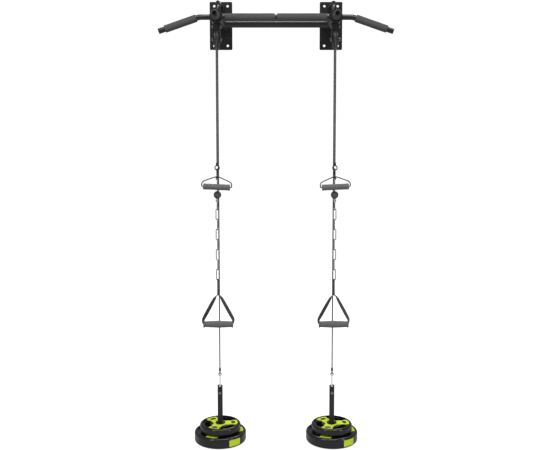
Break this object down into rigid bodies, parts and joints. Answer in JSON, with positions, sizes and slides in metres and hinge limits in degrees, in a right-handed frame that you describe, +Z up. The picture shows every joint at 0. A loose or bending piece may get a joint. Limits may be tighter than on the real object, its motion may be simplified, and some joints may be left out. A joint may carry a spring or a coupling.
{
  "type": "wall-mounted functional trainer",
  "caption": "Wall-mounted pull-up bar with drooped wings and forward grips, and a cable pulley, two handles and a plate-loaded pin on each side.",
  "frame": {"origin": "centre of the two wall plates' bolt pattern, on the wall face", "axes": "+X along the bar, to the right as seen from in front; +Y into the wall; +Z up"},
  "size_m": [1.0648, 0.4225, 2.11],
  "materials": {
    "black_paint": "gloss powder coat",
    "zinc": "bright zinc",
    "nylon": "moulded nylon",
    "cable": "PVC-coated steel cable",
    "black_fitting": "black oxide steel",
    "grip_rubber": "ribbed rubber",
    "ball_rubber": "moulded rubber",
    "chrome_link": "bright plated steel",
    "webbing": "woven nylon webbing",
    "grip_foam": "closed-cell foam",
    "plate_black": "satin moulded plastic over a filled core",
    "plate_lime": "lime inlay",
    "plug_plastic": "moulded plug"
  },
  "bodies": {
    "frame": {"pull_up_bar": "black_paint", "crossbar": "black_paint", "bar_grips": "grip_foam", "neutral_grips": "grip_foam", "end_plugs": "plug_plastic", "hanger_bolts": "zinc", "left_bracket": "black_paint", "left_pulley_cheeks": "black_paint", "left_pulley_axle": "zinc", "left_cable_wrap": "cable", "left_cable_rear": "cable", "right_bracket": "black_paint", "right_pulley_cheeks": "black_paint", "right_pulley_axle": "zinc", "right_cable_wrap": "cable", "right_cable_rear": "cable"},
    "left_wheel": {"left_pulley_wheel": "nylon"},
    "left_line": {"left_cable_front": "cable"},
    "left_cable_end": {"left_cable_end": "black_fitting", "left_carabiner": "black_fitting"},
    "left_gate": {"left_carabiner_gate": "zinc"},
    "left_bail": {"left_bail": "black_fitting"},
    "left_bail_grip": {"left_bail_grip": "grip_rubber"},
    "left_stopper": {"left_stopper_stem": "zinc", "left_stopper_ball": "ball_rubber"},
    "left_chain": {"left_snap_hook": "chrome_link", "left_chain": "chrome_link"},
    "left_hook_gate": {"left_snap_hook_gate": "chrome_link"},
    "left_strap": {"left_strap": "webbing"},
    "left_strap_grip": {"left_strap_grip": "grip_foam"},
    "left_pin": {"left_loading_pin": "black_paint", "left_cross_bolt": "zinc", "left_eye_rod": "zinc", "left_cable_shackle": "cable"},
    "left_large_plate": {"left_large_plate": "plate_black", "left_large_plate_inlay": "plate_lime"},
    "left_small_plate": {"left_small_plate": "plate_black", "left_small_plate_inlay": "plate_lime"},
    "right_wheel": {"right_pulley_wheel": "nylon"},
    "right_line": {"right_cable_front": "cable"},
    "right_cable_end": {"right_cable_end": "black_fitting", "right_carabiner": "black_fitting"},
    "right_gate": {"right_carabiner_gate": "zinc"},
    "right_bail": {"right_bail": "black_fitting"},
    "right_bail_grip": {"right_bail_grip": "grip_rubber"},
    "right_stopper": {"right_stopper_stem": "zinc", "right_stopper_ball": "ball_rubber"},
    "right_chain": {"right_snap_hook": "chrome_link", "right_chain": "chrome_link"},
    "right_hook_gate": {"right_snap_hook_gate": "chrome_link"},
    "right_strap": {"right_strap": "webbing"},
    "right_strap_grip": {"right_strap_grip": "grip_foam"},
    "right_pin": {"right_loading_pin": "black_paint", "right_cross_bolt": "zinc", "right_eye_rod": "zinc", "right_cable_shackle": "cable"},
    "right_large_plate": {"right_large_plate": "plate_black", "right_large_plate_inlay": "plate_lime"},
    "right_small_plate": {"right_small_plate": "plate_black", "right_small_plate_inlay": "plate_lime"}
  },
  "joints": [
    {"name": "left_weight_lift", "type": "slide", "parent": "frame", "child": "left_pin", "axis": [0, 0, 1], "range_m": [0, 0.22], "deforming": ["left_cable_rear"]},
    {"name": "left_wheel_spin", "type": "hinge", "parent": "frame", "child": "left_wheel", "pos_m": [-0.268, -0.28, -0.096], "axis": [1, 0, 0], "continuous": true},
    {"name": "left_line_swing", "type": "hinge", "parent": "frame", "child": "left_line", "pos_m": [-0.268, -0.321, -0.096], "axis": [-1, 0, 0], "range_deg": [-2, 60]},
    {"name": "left_handle_pull", "type": "slide", "parent": "left_line", "child": "left_cable_end", "axis": [0, 0, -1], "range_m": [0, 0.22], "deforming": ["left_cable_front"]},
    {"name": "left_carabiner_gate_open", "type": "hinge", "parent": "left_cable_end", "child": "left_gate", "pos_m": [-0.268, -0.309, -0.70965], "axis": [1, 0, 0], "range_deg": [0, 24], "stiffness_Nm_per_rad": 0.02, "springref_deg": -11.46},
    {"name": "left_bail_swing", "type": "hinge", "parent": "left_cable_end", "child": "left_bail", "pos_m": [-0.268, -0.32515, -0.71739], "axis": [-0.999, 0, 0.0454], "range_deg": [0, 110]},
    {"name": "left_bail_grip_spin", "type": "hinge", "parent": "left_bail", "child": "left_bail_grip", "pos_m": [-0.27004, -0.33471, -0.76234], "axis": [0.999, 0, -0.0454], "continuous": true},
    {"name": "left_stopper_sway", "type": "hinge", "parent": "left_cable_end", "child": "left_stopper", "pos_m": [-0.268, -0.31653, -0.72377], "axis": [0, 1, 0], "range_deg": [-20, 20]},
    {"name": "left_chain_swing", "type": "hinge", "parent": "left_stopper", "child": "left_chain", "pos_m": [-0.268, -0.31653, -0.83177], "axis": [-1, 0, 0], "range_deg": [-4, 45]},
    {"name": "left_snap_hook_gate_open", "type": "hinge", "parent": "left_chain", "child": "left_hook_gate", "pos_m": [-0.268, -0.30753, -0.85692], "axis": [1, 0, 0], "range_deg": [0, 18], "stiffness_Nm_per_rad": 0.02, "springref_deg": -11.46},
    {"name": "left_strap_swing", "type": "hinge", "parent": "left_chain", "child": "left_strap", "pos_m": [-0.268, -0.31653, -1.19487], "axis": [-1, 0, 0], "range_deg": [-15, 60]},
    {"name": "left_strap_grip_spin", "type": "hinge", "parent": "left_strap", "child": "left_strap_grip", "pos_m": [-0.268, -0.31653, -1.40337], "axis": [1, 0, 0], "continuous": true},
    {"name": "left_large_plate_lift", "type": "slide", "parent": "left_pin", "child": "left_large_plate", "axis": [0, 0, 1], "range_m": [0, 0.06]},
    {"name": "left_small_plate_lift", "type": "slide", "parent": "left_large_plate", "child": "left_small_plate", "axis": [0, 0, 1], "range_m": [0, 0.07]},
    {"name": "right_weight_lift", "type": "slide", "parent": "frame", "child": "right_pin", "axis": [0, 0, 1], "range_m": [0, 0.22], "deforming": ["right_cable_rear"]},
    {"name": "right_wheel_spin", "type": "hinge", "parent": "frame", "child": "right_wheel", "pos_m": [0.268, -0.28, -0.096], "axis": [1, 0, 0], "continuous": true},
    {"name": "right_line_swing", "type": "hinge", "parent": "frame", "child": "right_line", "pos_m": [0.268, -0.321, -0.096], "axis": [-1, 0, 0], "range_deg": [-2, 60]},
    {"name": "right_handle_pull", "type": "slide", "parent": "right_line", "child": "right_cable_end", "axis": [0, 0, -1], "range_m": [0, 0.22], "deforming": ["right_cable_front"]},
    {"name": "right_carabiner_gate_open", "type": "hinge", "parent": "right_cable_end", "child": "right_gate", "pos_m": [0.268, -0.309, -0.70965], "axis": [1, 0, 0], "range_deg": [0, 24], "stiffness_Nm_per_rad": 0.02, "springref_deg": -11.46},
    {"name": "right_bail_swing", "type": "hinge", "parent": "right_cable_end", "child": "right_bail", "pos_m": [0.268, -0.32515, -0.71739], "axis": [-0.999, 0, -0.0454], "range_deg": [0, 110]},
    {"name": "right_bail_grip_spin", "type": "hinge", "parent": "right_bail", "child": "right_bail_grip", "pos_m": [0.27004, -0.33471, -0.76234], "axis": [0.999, 0, 0.0454], "continuous": true},
    {"name": "right_stopper_sway", "type": "hinge", "parent": "right_cable_end", "child": "right_stopper", "pos_m": [0.268, -0.31653, -0.72377], "axis": [0, 1, 0], "range_deg": [-20, 20]},
    {"name": "right_chain_swing", "type": "hinge", "parent": "right_stopper", "child": "right_chain", "pos_m": [0.268, -0.31653, -0.83177], "axis": [-1, 0, 0], "range_deg": [-4, 45]},
    {"name": "right_snap_hook_gate_open", "type": "hinge", "parent": "right_chain", "child": "right_hook_gate", "pos_m": [0.268, -0.30753, -0.85692], "axis": [1, 0, 0], "range_deg": [0, 18], "stiffness_Nm_per_rad": 0.02, "springref_deg": -11.46},
    {"name": "right_strap_swing", "type": "hinge", "parent": "right_chain", "child": "right_strap", "pos_m": [0.268, -0.31653, -1.19487], "axis": [-1, 0, 0], "range_deg": [-15, 60]},
    {"name": "right_strap_grip_spin", "type": "hinge", "parent": "right_strap", "child": "right_strap_grip", "pos_m": [0.268, -0.31653, -1.40337], "axis": [1, 0, 0], "continuous": true},
    {"name": "right_large_plate_lift", "type": "slide", "parent": "right_pin", "child": "right_large_plate", "axis": [0, 0, 1], "range_m": [0, 0.06]},
    {"name": "right_small_plate_lift", "type": "slide", "parent": "right_large_plate", "child": "right_small_plate", "axis": [0, 0, 1], "range_m": [0, 0.07]}
  ],
  "couplings": [
    {"joint": "left_wheel_spin", "follows": "left_weight_lift", "rad_per_m": 24.39},
    {"joint": "left_handle_pull", "follows": "left_weight_lift", "ratio": 1},
    {"joint": "right_wheel_spin", "follows": "right_weight_lift", "rad_per_m": 24.39},
    {"joint": "right_handle_pull", "follows": "right_weight_lift", "ratio": 1}
  ]
}
